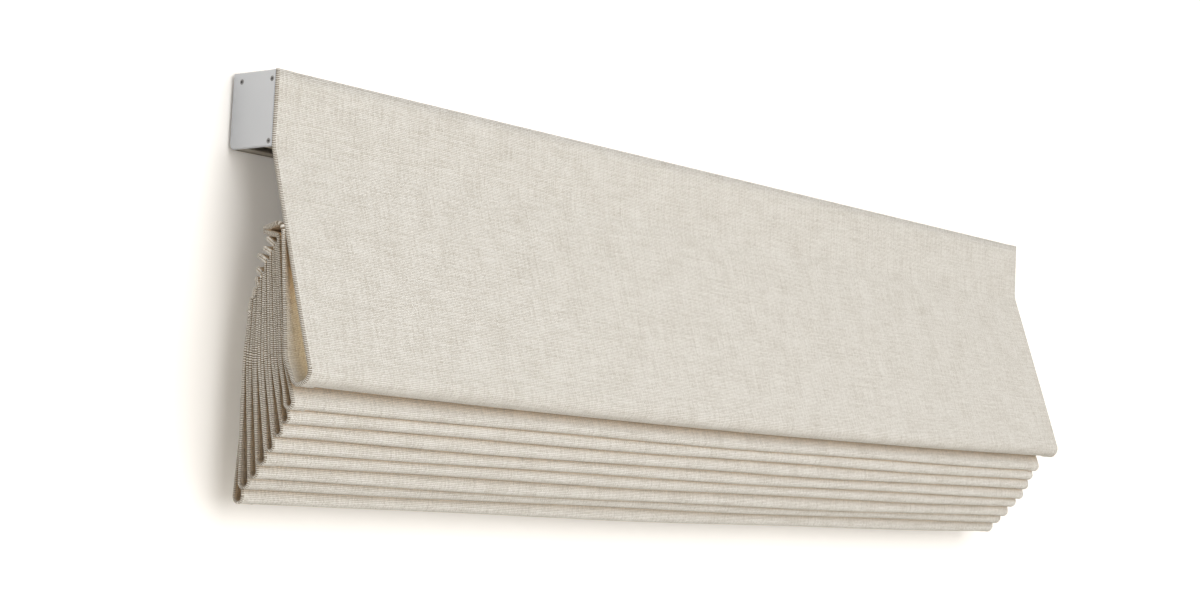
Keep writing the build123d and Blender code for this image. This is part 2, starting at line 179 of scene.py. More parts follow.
# Rows and columns of the cloth's mesh, in millimetres and radians
PATH_FINENESS = 64
ROW_STEP = 11
ROW_TURN = 0.26
INNER_COLUMNS = 17
INNER_REACH = 540
OUTER_COLUMNS = (556, 570, 580, 581.9, 583, 584.1, 585.9, 588, 590.5, 593, 595.5, 598, 600)
RIM_COLUMNS = 4
RIM_INSET = 1.0

# The turned edge of the side hems
EDGE_INSET = 1.4
EDGE_STEP = 2
EDGE_TURN = 0.3
EDGE_COLUMNS = 8
EDGE_ROWS_A_THREAD = 3
EDGE_RIDGE = 0.45 * MM
LEAST_RIDGE = 0.4
RIDGE_FULLNESS = 0.6
EDGE_SEED = 4
CLOSED_SHIFT = 1.2 * MM

# Stitches
STITCH_RADIUS = 0.28 * MM
STITCH_ROWS = 4
STITCH_SIDES = 4
STITCH_STEP = 4.2
STITCH_ROW_TURN = 10
STITCH_END = 0.02
SIDE_STITCH_INSET = 15.5

# Linen: scales in turns a metre, distances in metres
STREAK_LONG = 26
STREAK_FINE = 480
DIP_HEIGHT = 0.55
BLOTCH_SCALE = 34.0
FLECK_SCALE = 330.0
BASE_TONE = 0.1
THREAD_CONTRAST = 1.5
BLOTCH_CONTRAST = 0.4
FLECK_CONTRAST = 0.9
GAP_CONTRAST = 2.1
# Painted shade: how dark the gaps between the threads of the hems' turned edges are painted
EDGE_SHADE_CONTRAST = 1.5
EDGE_START = 0.5998
EDGE_END = 0.6005
# Painted shade: a warm tint deep in the folds, where ambient occlusion within this reach goes from open to
# shut
FOLD_SHADE_REACH = 0.014
FOLD_SHADE_OPEN = 0.75
FOLD_SHADE_SHUT = 0.1
THREAD_RELIEF = 0.0006

# Grain of the hard finishes and the thread
BROAD_SCALE = 9.0
GRAIN_SHADE = 0.88
GLOSS_RANGE = 0.15

# Studio, in metres
WALL_PLACE = 0.0015
FLOOR_LEVEL = -1.4
STAGE_REACH = 12
STAGE_POINTS = 5
WALL_SHARE = 0.5
WALL_COLOUR = (0.97, 0.935, 0.88)
WALL_GLOW = 0.11
SHADOW_COLOUR = (1.0, 0.965, 0.915)
WHITE = (1.0, 1.0, 1.0, 1.0)
KEY_PLACE = (-0.4, -4.0, 0.9)
KEY_TARGET = (0, 0, -0.1)
KEY_SIZE = (4.4, 4.4)
KEY_COLOUR = (0.985, 1.0, 1.03)
FOLD_LIGHT_PLACE = (0, -0.0917, -0.1678)
FOLD_LIGHT_TARGET = (0, 0.0042, -0.1961)
FOLD_LIGHT_SIZE = (1.19, 0.089)
FOLD_LIGHT_COLOUR = (1.0, 0.80, 0.52)
SENSOR_WIDTH = 36
CAMERA_NEAR = 0.05
CAMERA_FAR = 60

# Socket kinds of the node groups, and the colour sockets of the Mix node
FLOAT = "NodeSocketFloat"
VECTOR = "NodeSocketVector"
MIX_COLOUR_INPUTS = (0, 6, 7)
MIX_COLOUR_OUTPUT = 2


class CLOTH_PG_settings(bpy.types.PropertyGroup):
    """Sizes and colours of the linen"""

    thickness: FloatProperty(
        name="Thickness", description="Thickness of one layer of linen", default=1.2 * MM, unit="LENGTH"
    )
    hem_thickness: FloatProperty(
        name="Hem thickness", description="Thickness of the doubled side hem", default=3.3 * MM,
        unit="LENGTH",
    )
    hem_width: FloatProperty(
        name="Hem width", description="How far the side hem reaches in", default=17 * MM, unit="LENGTH"
    )
    thread_pitch: FloatProperty(
        name="Thread pitch", description="Distance from thread to thread", default=1.45 * MM, unit="LENGTH"
    )
    face_sag: FloatProperty(
        name="Face sag", description="How far the first fold hangs lower in the middle", default=5.5 * MM,
        unit="LENGTH",
    )
    stack_sag: FloatProperty(
        name="Stack sag", description="How far the other folds hang lower in the middle", default=3 * MM,
        unit="LENGTH",
    )
    colour: FloatVectorProperty(
        name="Linen", description="Colour of the bleached threads", subtype="COLOR",
        default=(0.83, 0.80, 0.735),
    )
    shade_colour: FloatVectorProperty(
        name="Raw thread", description="Colour of the darker threads and gaps", subtype="COLOR",
        default=(0.46, 0.41, 0.33),
    )
    # Painted shade: a very dark brown that the gaps between the threads of the turned edges are painted in
    gap_shade_colour: FloatVectorProperty(
        name="Gap", description="Colour deep between the threads of the turned edges", subtype="COLOR",
        default=(0.17, 0.125, 0.075),
    )
    # Painted shade: a warm tint that stands in for light bounced about and shaded deep in the folds
    fold_shade_colour: FloatVectorProperty(
        name="Fold", description="Warm colour that the linen takes on deep in the folds", subtype="COLOR",
        default=(0.86, 0.60, 0.33),
    )


class RAIL_PG_settings(bpy.types.PropertyGroup):
    """Colours of the rail, its end plates and their screws"""

    aluminium: FloatVectorProperty(
        name="Rail", description="Colour of the satin rail", subtype="COLOR", default=(0.54, 0.51, 0.46)
    )
    plate: FloatVectorProperty(
        name="End plates", description="Colour of the satin end plates", subtype="COLOR",
        default=(0.54, 0.56, 0.59),
    )
    screws: FloatVectorProperty(
        name="Screws", description="Colour of the plated screws", subtype="COLOR",
        default=(0.26, 0.26, 0.265),
    )
    roughness: FloatProperty(
        name="Satin", description="Roughness of the rail's finish", default=0.5, min=0, max=1
    )


class STUDIO_PG_settings(bpy.types.PropertyGroup):
    """Camera and light of the studio"""

    camera_place: FloatVectorProperty(
        name="Camera", description="Where the camera stands", subtype="TRANSLATION", unit="LENGTH",
        default=(-1.78769, -1.36162, -0.29887),
    )
    camera_azimuth: FloatProperty(
        name="Azimuth", description="Turn of the camera round the blind", subtype="ANGLE",
        default=math.radians(-50.75),
    )
    camera_elevation: FloatProperty(
        name="Elevation", description="Height angle of the camera", subtype="ANGLE",
        default=math.radians(-5.16),
    )
    camera_roll: FloatProperty(
        name="Roll", description="Roll of the camera about its view", subtype="ANGLE",
        default=math.radians(2.63),
    )
    lens: FloatProperty(
        name="Lens", description="Focal length on a 36 mm sensor, in millimetres", default=67.03
    )
    key_power: FloatProperty(
        name="Key", description="Power of the large soft lamp in watts", default=164, min=0
    )
    fold_power: FloatProperty(
        name="Fold light", description="Power of the light that comes through the face cloth, in watts",
        default=0.2, min=0,
    )
    ambient: FloatProperty(
        name="Ambient", description="Strength of the light from all sides", default=0.46, min=0
    )


def smooth_step(low, high, value):
    """0 below low, 1 above high, and 3t^2 - 2t^3 between."""
    t = np.clip((value - low) / (high - low), 0, 1)
    return t * t * (3 - 2 * t)


def window(places, value):
    """A smooth step up between the first two places, and one down between the last two."""
    return smooth_step(places[0], places[1], value) * (1 - smooth_step(places[2], places[3], value))


def fillet_table(corners, radii):
    """Runs of a path, and centres and turns of the arcs that round its corners.

    An arc of radius r at a turn of angle a starts and ends r * tan(a / 2) from its corner, and its
    centre is r to the side that the path turns to. The path's two ends have no arc.
    """
    runs = corners[1:] - corners[:-1]
    runs = runs / np.linalg.norm(runs, axis=1, keepdims=True)
    before, after = runs[:-1], runs[1:]
    cross = before[:, 0] * after[:, 1] - before[:, 1] * after[:, 0]
    turn = np.arctan2(cross, (before * after).sum(1))
    reach = (radii[1:-1] * np.tan(np.abs(turn) / 2))[:, None]
    side = np.stack([-before[:, 1], before[:, 0]], 1) * np.sign(turn)[:, None]
    start = corners[1:-1] - before * reach
    end = corners[1:-1] + after * reach
    centre = start + side * radii[1:-1, None]
    return {
        "run_start": np.concatenate([corners[:1], end]),
        "run_end": np.concatenate([start, corners[-1:]]),
        "run_side": np.stack([-runs[:, 1], runs[:, 0]], 1),
        "centre": centre,
        "arm": start - centre,
        "turn": turn,
    }


def turned(vectors, cosine, sine):
    """Plane vectors turned by angles of that cosine and sine."""
    first = vectors[:, 0] * cosine - vectors[:, 1] * sine
    second = vectors[:, 0] * sine + vectors[:, 1] * cosine
    return np.stack([first, second], 1)


def walk(table, place):
    """Points and left-hand normals at places along the path.

    In the first half of a whole step a point is mixed from the run's two ends. In the second half it
    is the next arc's centre plus its arm, turned by the same share of the arc's turn.
    """
    last = len(table["run_start"]) - 1
    run = np.clip(np.floor(place).astype(int), 0, last)
    part = place - run
    along = np.clip(part * 2, 0, 1)[:, None]
    point = table["run_start"][run] * (1 - along) + table["run_end"][run] * along
    side = table["run_side"][run]
    arc = np.clip(run, 0, last - 1)
    angle = np.clip(part * 2 - 1, 0, 1) * table["turn"][arc]
    cosine, sine = np.cos(angle), np.sin(angle)
    bent = ((part > 0.5) & (run < last))[:, None]
    point = np.where(bent, table["centre"][arc] + turned(table["arm"][arc], cosine, sine), point)
    return point, np.where(bent, turned(side, cosine, sine), side)


def even_places(table, step, turn_step):
    """Places spread so that no gap is longer than step or turns more than turn_step.

    The second result is the path's length from its start to each of them.
    """
    end = len(table["run_start"]) - 0.5
    places = np.linspace(0, end, int(end * PATH_FINENESS) + 1)
    points, sides = walk(table, places)
    length = np.linalg.norm(np.diff(points, axis=0), axis=1)
    cross = sides[:-1, 0] * sides[1:, 1] - sides[:-1, 1] * sides[1:, 0]
    turn = np.abs(np.arcsin(np.clip(cross, -1, 1)))
    need = np.concatenate([[0], np.cumsum(length / step + turn / turn_step)])
    chosen = np.interp(np.linspace(0, need[-1], int(need[-1]) + 2), need, places)
    run_length = np.concatenate([[0], np.cumsum(length)])
    return chosen, np.interp(chosen, places, run_length)


def open_pockets():
    """Corners of the pockets round their ribs, and the radii of their arches and tips.

    A pocket reaches out from its root at an angle that grows from crown to crown. Its two layers lie
    half a pitch to either side, and the arch is set back so that the leaves keep their gap.
    """
    crown = np.arange(FOLD_COUNT)
    angle = np.radians(FIRST_POCKET_ANGLE + POCKET_ANGLE_STEP * crown)
    root = np.array(FIRST_CROWN) + np.array(CROWN_STEP) * crown[:, None]
    out = np.stack([np.cos(angle), np.sin(angle)], 1)
    half = np.stack([-np.sin(angle), np.cos(angle)], 1) * (POCKET_PITCH / 2)
    front_shift = ((LEAF_GAP - POCKET_PITCH * np.sin(angle)) / np.cos(angle))[:, None]
    tip = root + out * POCKET_LENGTH
    arch = root + half - out * front_shift
    neck = (arch + tip + half) / 2
    return [arch, neck, tip + half, tip - half, root - half], np.full(FOLD_COUNT, ARCH_TURN), TIP_TURN


def end_pockets():
    """Corners of the pinched pockets at the cloth's ends, and the radii of their arches and tips.

    A pocket's layers lie half a pitch to either side of the line from its root to its tip. The first
    one is a hood with corners of its own.
    """
    tip, root = np.array(END_TIPS), np.array(END_ROOTS)
    fin = tip - root
    fin = fin / np.linalg.norm(fin, axis=1, keepdims=True)
    half_pitch = np.full((FOLD_COUNT, 1), END_TIP_PITCH / 2)
    half_pitch[0] = HOOD_TIP_PITCH / 2
    half = np.stack([-fin[:, 1], fin[:, 0]], 1) * half_pitch
    arch = root + np.array(END_ARCH)
    neck = root + half
    under = root - half
    arch[0], neck[0], under[0] = HOOD_ARCH, HOOD_NECK, HOOD_UNDER
    arch_turn = np.full(FOLD_COUNT, END_ARCH_TURN)
    arch_turn[0] = HOOD_TURN
    return [arch, neck, tip + half, tip - half, under], arch_turn, END_TIP_TURN


def section(pinched):
    """Corners and radii of the cloth's middle line in millimetres, as (y, z).

    Down the face, round the first fold, then for each crown: up the back leaf, out and back round
    the pocket, down the front leaf and round the next low fold. A pinched section has the pockets
    as they are at the ends of the cloth. The low folds lie on a line from the first to the last,
    which bulges by 4t(1 - t) for a share t of it.
    """
    pocket, arch_turn, tip_turn = end_pockets() if pinched else open_pockets()
    crown = np.arange(FOLD_COUNT)
    leaf_back = np.stack([FIRST_LEAF + LEAF_PITCH * 2 * crown, np.full(FOLD_COUNT, LEAF_LEVEL)], 1)
    leaf_front = leaf_back + np.array([LEAF_PITCH, 0])
    share = (crown / (FOLD_COUNT - 1))[:, None]
    low = np.array(FIRST_LOW) * (1 - share) + np.array(LAST_LOW) * share
    low = low - np.concatenate([LOW_BULGE * 4 * share * (1 - share), np.array(LOW_DROPS)[:, None]], 1)
    low_half = np.stack([np.array(LOW_WIDTHS) / 2, 0 * crown], 1)
    low_front = low - low_half + np.array([0, LOW_TILT])
    corners = np.stack([leaf_back, *pocket, leaf_front, low_front, low + low_half], 1)

    low_turn = LOW_ROUNDNESS * np.array(LOW_WIDTHS)
    turns = [LEAF_TURN, arch_turn, NECK_TURN, tip_turn, tip_turn, UNDER_TURN, LEAF_TURN, low_turn, low_turn]
    radii = np.stack([np.ones(FOLD_COUNT) * turn for turn in turns], 1)
    radii[0, 0] = FIRST_LEAF_TURN

    face = [(CLOTH_MIDDLE, HALF_HEIGHT), (CLOTH_MIDDLE, -HALF_HEIGHT), FACE_FOOT, FACE_FOOT_BACK]
    hem_line = leaf_front[-1, 0] + HEM_GAP
    hem = [(hem_line, HEM_STITCH), (hem_line + HEM_LEAN, HEM_TOP)]
    corners = np.concatenate([face, corners.reshape(-1, 2), hem])
    radii = np.concatenate([[0, RAIL_FOOT_TURN, *FIRST_FOLD_TURNS], radii.ravel(), [HEM_STITCH_TURN, 0]])
    return corners, radii


def layer_values(values):
    """Path places with the values at each low fold, and nothing on the rail and at each crown."""
    crown = np.arange(FOLD_COUNT)
    low_places = np.concatenate([[FIRST_LOW_PLACE], FACE_CORNERS + LOW_STEP + CORNERS_A_CROWN * crown])
    crown_places = FACE_CORNERS + TIP_STEP + CORNERS_A_CROWN * crown
    places = np.concatenate([[0, 1], low_places, crown_places, [LAST_PLACE]])
    heights = np.concatenate([[0, 0], values, np.zeros(FOLD_COUNT), [values[-1]]])
    order = np.argsort(places)
    return places[order], heights[order]


def cloth_middle(places, across):
    """Middle surface of the cloth and its outward normals, for path places and widths in millimetres.

    A point is the open section mixed with the pinched one near the ends, spread sideways with its
    layer, and let down by the sag, which is greatest in mid-span and at the low folds. A small sine
    wave lets each fold down unevenly, and a sine swell and a hollow push the face in and out.
    """
    cloth = bpy.context.scene.blind_cloth
    open_point, open_side = walk(fillet_table(*section(False)), places)
    end_point, end_side = walk(fillet_table(*section(True)), places)
    share = smooth_step(PINCH_START, PINCH_END, np.abs(across))[None, :, None]
    point = open_point[:, None] * (1 - share) + end_point[:, None] * share
    side = open_side[:, None] * (1 - share) + end_side[:, None] * share
    side = side / np.linalg.norm(side, axis=2, keepdims=True)

    left = np.interp(places, *layer_values(LEFT_SPREAD))[:, None]
    right = np.interp(places, *layer_values(RIGHT_SPREAD))[:, None]
    spread = np.where(across < 0, left, right)
    x = across[None, :] * (1 + spread / HALF_WIDTH)

    span = (across / HALF_WIDTH)[None, :]
    middle = 1 - span ** 2
    height = open_point[:, 1][:, None]
    place = places[:, None]
    on_face = place < FIRST_LOW_PLACE
    low_share = smooth_step(SAG_START, SAG_END, height)
    face_share = np.clip((-HALF_HEIGHT - height) / FACE_DROP, 0, 1) ** FACE_SAG_POWER
    fold = np.round((place - FIRST_LOW_PLACE) / CORNERS_A_CROWN)
    own = 1 + FOLD_UNEVENNESS * np.sin(UNEVEN_TURN * fold)
    sag = np.where(place < FACE_CORNERS, cloth.face_sag, cloth.stack_sag * own) / MM
    wave = FOLD_WAVE * np.sin(span * WAVES_A_SPAN + WAVE_TURN * fold) * low_share * (fold > 0)
    drop = sag * middle * np.where(on_face, face_share, low_share) + wave
    swell = FACE_SWELL * np.sin(SWELLS_A_SPAN * span + SWELL_START) * np.sin(np.pi * face_share) * on_face
    swell = swell + FACE_HOLLOW * middle * np.sin(np.pi * face_share) * on_face
    y = point[..., 0] + swell
    z = point[..., 1] - drop
    points = np.stack([np.broadcast_to(x, y.shape), y, z], -1) * MM
    normals = np.stack([np.zeros_like(y), -side[..., 0], -side[..., 1]], -1)
    return points, normals


def half_thickness(places, across):
    """Half the cloth's thickness in metres: one layer, or the doubled hem near the two sides.

    The hem is thinner in the pockets, where it is folded open, and in the low folds. On the face and
    the first crown it follows its own table.
    """
    cloth = bpy.context.scene.blind_cloth
    inner = HALF_WIDTH - cloth.hem_width / MM
    hem = smooth_step(inner - HEM_STEP_HALF, inner + HEM_STEP_HALF, np.abs(across))
    crown_place = (places - FACE_CORNERS) % CORNERS_A_CROWN
    behind = (places > FACE_CORNERS) & (places < LAST_PLACE - 1)
    pocket = window(POCKET_PLACES, crown_place) * behind
    hem_half = cloth.hem_thickness / 2 * (1 - pocket) + POCKET_HALF * pocket
    loop = window(LOOP_PLACES, crown_place) * behind
    hem_half = hem_half * (1 - loop) + LOOP_HALF * loop
    first = np.interp(places, HOOD_PLACES, HOOD_HALVES) * MM
    hem_half = np.where(places < FACE_CORNERS + CORNERS_A_CROWN, first, hem_half)
    return cloth.thickness / 2 * (1 - hem)[None, :] + hem_half[:, None] * hem[None, :]


def cloth_columns():
    """Widths of the cloth's columns in millimetres, close together over the hems, with the rims' roundness.

    Each rim is half an ellipse: its columns have a share of the half thickness outwards, the cosine
    of a quarter turn's steps, and a share along the cloth's normal, their sine.
    """
    half = np.concatenate([np.linspace(0, INNER_REACH, INNER_COLUMNS), OUTER_COLUMNS])
    flat = np.concatenate([-half[:0:-1], half])
    rim = (np.arange(RIM_COLUMNS) + 0.5) / RIM_COLUMNS * np.pi / 2
    rim_x = np.full(RIM_COLUMNS, HALF_WIDTH - RIM_INSET)
    across = np.concatenate([-rim_x, flat, rim_x])
    normal_share = np.concatenate([np.sin(rim), np.ones(len(flat)), np.cos(rim)])
    outward_share = np.concatenate([-np.cos(rim), np.zeros(len(flat)), np.sin(rim)])
    return across, normal_share, outward_share


def grid_faces(rows, columns, wrap):
    """Quads of a grid of rows by columns, whose last column joins the first if wrap is true."""
    row = np.arange(rows - 1)[:, None] * columns
    column = np.arange(columns if wrap else columns - 1)[None, :]
    after = (column + 1) % columns
    corners = [row + column, row + after, row + columns + after, row + columns + column]
    return np.stack(corners, -1).reshape(-1, 4)


def put_mesh(name, points, faces, uv=None):
    """A smooth mesh object from points in metres and faces, with an optional UV pair for each point.

    Where the volume that the faces enclose is less than nothing they point inwards, and are turned.
    """
    first, second, third = (points[faces[:, n]] for n in (0, 1, 2))
    fourth = points[faces[:, -1]]
    volume = (first * (np.cross(second, third) + np.cross(third, fourth))).sum()
    if volume < 0:
        faces = faces[:, ::-1]
    mesh = bpy.data.meshes.new(name)
    mesh.vertices.add(len(points))
    mesh.vertices.foreach_set("co", np.asarray(points, np.float32).ravel())
    mesh.loops.add(faces.size)
    mesh.loops.foreach_set("vertex_index", faces.astype(np.int32).ravel())
    mesh.polygons.add(len(faces))
    mesh.polygons.foreach_set("loop_start", np.arange(0, faces.size, faces.shape[1], dtype=np.int32))
    mesh.update(calc_edges=True)
    mesh.polygons.foreach_set("use_smooth", np.ones(len(faces), bool))
    if uv is not None:
        layer = mesh.uv_layers.new(name="cloth_metres")
        layer.data.foreach_set("uv", np.asarray(uv, np.float32)[faces.ravel()].ravel())
    mesh.validate()
    piece = bpy.data.objects.new(name, mesh)
    bpy.context.scene.collection.objects.link(piece)
    return piece


def build_cloth():
    """The whole cloth as one closed skin: across the front, round one side's rim, back, and round the other.

    Front and back are the middle surface plus and minus the half thickness along its normal, and
    quads close the first and the last row.
    """
    places, lengths = even_places(fillet_table(*section(False)), ROW_STEP, ROW_TURN)
    across, normal_share, outward_share = cloth_columns()
    middle, normals = cloth_middle(places, across)
    half = half_thickness(places, across)
    outwards = np.array([1.0, 0, 0]) * (half * outward_share[None, :])[..., None]
    deep = normals * (half * normal_share[None, :])[..., None]
    points = np.concatenate([middle + deep + outwards, (middle - deep + outwards)[:, ::-1]], 1)
    rows, columns = points.shape[:2]
    first = np.arange(columns // 2 - 1)
    cap = np.stack([first, columns - 1 - first, columns - 2 - first, first + 1], 1)
    faces = np.concatenate([grid_faces(rows, columns, True), cap, (cap + (rows - 1) * columns)[:, ::-1]])
    width = np.concatenate([across, across[::-1]]) * MM
    uv = np.stack(np.broadcast_arrays(lengths[:, None] * MM, width[None, :]), -1)
    return put_mesh("linen_cloth", points.reshape(-1, 3), faces, uv.reshape(-1, 2))


def build_hem_edge(side):
    """The side hem's edge, where each weft thread turns round it in a small ridge.

    A tube along the cloth's edge: its section is an ellipse, half the hem thick, which swells by the
    sine of the place between two threads, by a different amount for each thread. In the pockets its
    UV is shifted inwards, clear of the painted shade that the linen's material puts between the threads at
    its edge.
    """
    cloth = bpy.context.scene.blind_cloth
    fine, lengths = even_places(fillet_table(*section(False)), EDGE_STEP, EDGE_TURN)
    count = int(lengths[-1] * MM / cloth.thread_pitch)
    turns = np.linspace(0, count, count * EDGE_ROWS_A_THREAD + 1)
    along = np.clip(turns * cloth.thread_pitch / MM, 0, lengths[-1])
    places = np.interp(along, lengths, fine)
    edge = np.array([side * (HALF_WIDTH - EDGE_INSET)])
    middle, normals = cloth_middle(places, edge)
    half = half_thickness(places, edge)[:, 0]
    chance = np.random.default_rng(EDGE_SEED)
    own = chance.uniform(LEAST_RIDGE, 1.0, count + 1)[np.floor(turns).astype(int)]
    ridge = EDGE_RIDGE * own * np.sin(np.pi * (turns % 1)) ** RIDGE_FULLNESS
    angle = np.linspace(0, 2 * np.pi, EDGE_COLUMNS + 1)[:-1]
    deep = (half + ridge)[:, None, None] * np.sin(angle)[None, :, None] * normals
    wide = (EDGE_INSET * MM + ridge)[:, None, None] * np.cos(angle)[None, :, None] * np.array([side, 0, 0])
    points = middle + deep + wide

    ends = np.arange(EDGE_COLUMNS // 2 - 1)
    cap = np.stack([ends, ends + 1, EDGE_COLUMNS - 2 - ends, EDGE_COLUMNS - 1 - ends], 1)
    tube = grid_faces(len(places), EDGE_COLUMNS, True)
    faces = np.concatenate([tube, cap[:, ::-1], cap + (len(places) - 1) * EDGE_COLUMNS])

    crown_place = (places - FACE_CORNERS) % CORNERS_A_CROWN
    closed = (places > FACE_CORNERS) & (crown_place > CLOSED_PLACES[0]) & (crown_place < CLOSED_PLACES[1])
    width = edge * MM - side * CLOSED_SHIFT * closed
    uv = np.stack(np.broadcast_arrays(along[:, None] * MM, width[:, None], angle[None, :])[:2], -1)
    name = "hem_edge_left" if side < 0 else "hem_edge_right"
    return put_mesh(name, points.reshape(-1, 3), faces, uv.reshape(-1, 2))


def stitch_row(places, across, side):
    """Points and faces of one row of stitches, each an ellipsoid lying on the cloth.

    Its long axis runs from one path place or width to the next, and the gap after it to the one
    after that. Rows of the grid go along it while columns go round it, by the square root of
    1 - t^2 for a share t of half its length.
    """
    count = max(len(places), len(across)) // 2
    middle, normals = cloth_middle(places, across)
    middle = middle + side * normals * half_thickness(places, across)[..., None]
    line = middle.reshape(-1, 3)[: 2 * count]
    normal = side * normals.reshape(-1, 3)[: 2 * count : 2]
    start, end = line[0::2], line[1::2]
    centre, reach = (start + end) / 2, (end - start) / 2
    cross = np.cross(reach, normal)
    cross = cross / np.linalg.norm(cross, axis=1, keepdims=True) * STITCH_RADIUS
    rise = normal * STITCH_RADIUS
    along = np.linspace(-1, 1, STITCH_ROWS)
    swell = np.sqrt(np.clip(1 - along ** 2, STITCH_END, 1))
    angle = np.linspace(0, 2 * np.pi, STITCH_SIDES + 1)[:-1]
    points = (
        centre[:, None, None]
        + reach[:, None, None] * along[None, :, None, None]
        + cross[:, None, None] * (swell[:, None] * np.cos(angle))[None, ..., None]
        + rise[:, None, None] * (swell[:, None] * np.sin(angle))[None, ..., None]
    )
    one = grid_faces(STITCH_ROWS, STITCH_SIDES, True)
    faces = one[None] + (np.arange(count) * STITCH_ROWS * STITCH_SIDES)[:, None, None]
    return points.reshape(-1, 3), faces.reshape(-1, 4)


def build_stitches():
    """All stitches as one mesh: both faces of both side hems along the path, and the bottom hem's row."""
    places, _ = even_places(fillet_table(*section(False)), STITCH_STEP / 2, STITCH_ROW_TURN)
    inset = HALF_WIDTH - SIDE_STITCH_INSET
    rows = [
        stitch_row(places, np.array([edge * inset]), side)
        for edge in (-1, 1)
        for side in (-1, 1)
    ]
    widths = np.linspace(-inset, inset, 2 * int(inset / STITCH_STEP))
    rows.append(stitch_row(np.array([STITCH_PLACE]), widths, 1))
    shift = np.cumsum([0] + [len(points) for points, _ in rows[:-1]])
    points = np.concatenate([points for points, _ in rows])
    faces = np.concatenate([faces + n for (_, faces), n in zip(rows, shift)])
    return put_mesh("hem_stitches", points, faces)


def opaque(colour):
    """A colour with full opacity."""
    return (*colour, 1.0)


def add_node(tree, kind, inputs=None, **values):
    """A node of that kind with its settings, whose inputs are numbers, colours or other nodes' outputs."""
    made = tree.nodes.new(kind)
    for name, value in values.items():
        setattr(made, name, value)
    for name, value in (inputs or {}).items():
        if isinstance(value, bpy.types.NodeSocket):
            tree.links.new(value, made.inputs[name])
        else:
            made.inputs[name].default_value = value
    return made


def maths(tree, operation, *values):
    """The output of a math node."""
    return add_node(tree, "ShaderNodeMath", dict(enumerate(values)), operation=operation).outputs[0]


def noise(tree, vector, scale, detail):
    """The height of a noise texture."""
    inputs = {"Vector": vector, "Scale": scale, "Detail": detail}
    return add_node(tree, "ShaderNodeTexNoise", inputs).outputs[0]


def stretched(tree, vector, factors):
    """A vector times a factor for each axis."""
    return add_node(tree, "ShaderNodeVectorMath", {0: vector, 1: factors}, operation="MULTIPLY").outputs[0]


def mixed(tree, factor, first, second):
    """A colour between two, by a mask."""
    inputs = dict(zip(MIX_COLOUR_INPUTS, (factor, first, second)))
    return add_node(tree, "ShaderNodeMix", inputs, data_type="RGBA").outputs[MIX_COLOUR_OUTPUT]


def mixed_value(tree, factor, first, second):
    """A number between two, by a mask."""
    inputs = {"Factor": factor, "A": first, "B": second}
    return add_node(tree, "ShaderNodeMix", inputs, data_type="FLOAT").outputs[0]


def added_contrast(tree, value, contrast, tone):
    """A tone plus the value's distance from a half, times a contrast."""
    return maths(tree, "MULTIPLY_ADD", maths(tree, "SUBTRACT", value, 0.5), contrast, tone)


def ramp(tree, value, low, high):
    """0 to 1 while the value goes from low to high."""
    inputs = {"Value": value, "From Min": low, "From Max": high}
    return add_node(tree, "ShaderNodeMapRange", inputs).outputs[0]


def new_group(name, inputs, outputs):
    """A shader node group with named sockets, and its input and output nodes."""
    group = bpy.data.node_groups.new(name, "ShaderNodeTree")
    for label, kind, default in inputs:
        socket = group.interface.new_socket(label, in_out="INPUT", socket_type=kind)
        if default is not None:
            socket.default_value = default
    for label, kind in outputs:
        group.interface.new_socket(label, in_out="OUTPUT", socket_type=kind)
    return group, group.nodes.new("NodeGroupInput"), group.nodes.new("NodeGroupOutput")


def weave_group():
    """Plain weave of uneven threads on a UV map in metres.

    Warp threads run along U and weft threads along V. Each thread's height is the sine of its
    width, and it dips where it goes under. Streaks of noise shift the threads and tint them.
    """
    group, given, result = new_group(
        "plain_weave",
        [("UV", VECTOR, None), ("Pitch", FLOAT, 0.0013), ("Wander", FLOAT, 0.35)],
        [("Height", FLOAT), ("Gap", FLOAT), ("Tone", FLOAT)],
    )
    uv = given.outputs["UV"]
    warp_streak = noise(group, stretched(group, uv, (STREAK_LONG, STREAK_FINE, STREAK_LONG)), 1.0, 2.0)
    weft_streak = noise(group, stretched(group, uv, (STREAK_FINE, STREAK_LONG, STREAK_FINE)), 1.0, 2.0)
    split = add_node(group, "ShaderNodeSeparateXYZ", {0: uv})
    shares = []
    cells = []
    for axis, streak in ((0, weft_streak), (1, warp_streak)):
        turns = maths(group, "DIVIDE", split.outputs[axis], given.outputs["Pitch"])
        wander = maths(group, "MULTIPLY", maths(group, "SUBTRACT", streak, 0.5), given.outputs["Wander"])
        moved = maths(group, "ADD", turns, wander)
        part = maths(group, "FRACT", moved)
        shares.append(maths(group, "SINE", maths(group, "MULTIPLY", part, math.pi)))
        cells.append(maths(group, "FLOOR", moved))
    odd = maths(group, "PINGPONG", maths(group, "ADD", cells[0], cells[1]), 1.0)
    dips = [maths(group, "MULTIPLY_ADD", share, 1 - DIP_HEIGHT, DIP_HEIGHT) for share in shares]
    weft_over = maths(group, "MULTIPLY", shares[0], dips[1])
    warp_over = maths(group, "MULTIPLY", shares[1], dips[0])
    beside = [maths(group, "SUBTRACT", 1.0, share) for share in shares]
    group.links.new(mixed_value(group, odd, weft_over, warp_over), result.inputs["Height"])
    group.links.new(maths(group, "MULTIPLY", *beside), result.inputs["Gap"])
    group.links.new(mixed_value(group, odd, weft_streak, warp_streak), result.inputs["Tone"])
    return group


